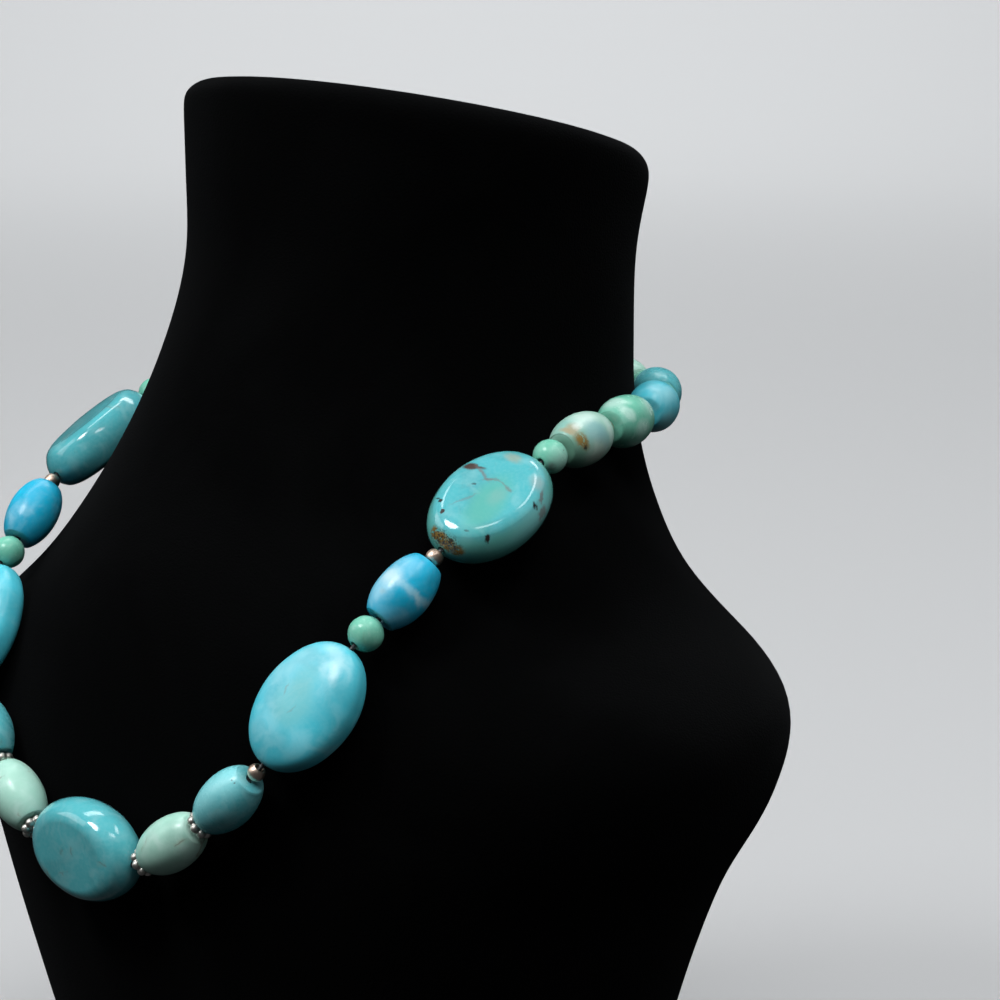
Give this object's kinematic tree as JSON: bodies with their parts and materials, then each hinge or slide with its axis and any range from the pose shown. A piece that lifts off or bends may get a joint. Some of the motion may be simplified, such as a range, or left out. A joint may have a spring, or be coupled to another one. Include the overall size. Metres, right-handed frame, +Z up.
{
  "type": "beaded necklace on a neck bust",
  "caption": "Turquoise necklace of oval, barrel and round beads with small metal spacers, closed round a plain black velvet neck bust that stands on a flat foot.",
  "frame": {"origin": "middle of the flat face that the bust stands on", "axes": "+Z up; the chest faces -Y; +X is to the right for someone who looks at the chest"},
  "size_m": [0.1778, 0.1342, 0.2036],
  "materials": {
    "velvet": "black cotton velvet, short even pile",
    "teal_stone": "polished teal turquoise with brown matrix",
    "sky_stone": "waxy sky blue turquoise with pale veins",
    "blue_stone": "polished cerulean turquoise with whitish veins",
    "green_stone": "polished green turquoise with lighter blotches",
    "pale_stone": "polished pale mint turquoise with tan matrix",
    "copper": "polished rose-gold coloured metal",
    "silver": "antique silver",
    "thread": "dark nylon-coated beading wire"
  },
  "bodies": {
    "root": {"neck_bust": "velvet", "middle_oval": "teal_stone", "right_daisy_1": "silver", "right_barrel_1": "pale_stone", "right_daisy_2": "silver", "right_barrel_2": "teal_stone", "right_spacer_1": "copper", "right_short_oval_1": "sky_stone", "right_round_1": "green_stone", "right_barrel_3": "blue_stone", "right_spacer_2": "copper", "right_oval_1": "teal_stone", "right_round_2": "green_stone", "right_barrel_4": "pale_stone", "right_spacer_3": "copper", "right_barrel_5": "green_stone", "right_spacer_4": "copper", "right_barrel_6": "sky_stone", "right_round_3": "green_stone", "right_barrel_7": "teal_stone", "right_round_4": "green_stone", "right_barrel_8": "pale_stone", "left_daisy_1": "silver", "left_barrel_1": "pale_stone", "left_daisy_2": "silver", "left_barrel_2": "teal_stone", "left_spacer_1": "copper", "left_short_oval_1": "sky_stone", "left_round_1": "green_stone", "left_barrel_3": "blue_stone", "left_spacer_2": "copper", "left_oval_1": "teal_stone", "left_round_2": "green_stone", "left_barrel_4": "pale_stone", "left_spacer_3": "copper", "left_barrel_5": "green_stone", "left_spacer_4": "copper", "left_barrel_6": "sky_stone", "left_round_3": "green_stone", "left_barrel_7": "teal_stone", "left_round_4": "green_stone", "left_barrel_8": "pale_stone", "clasp": "silver", "thread": "thread"}
  },
  "joints": []
}
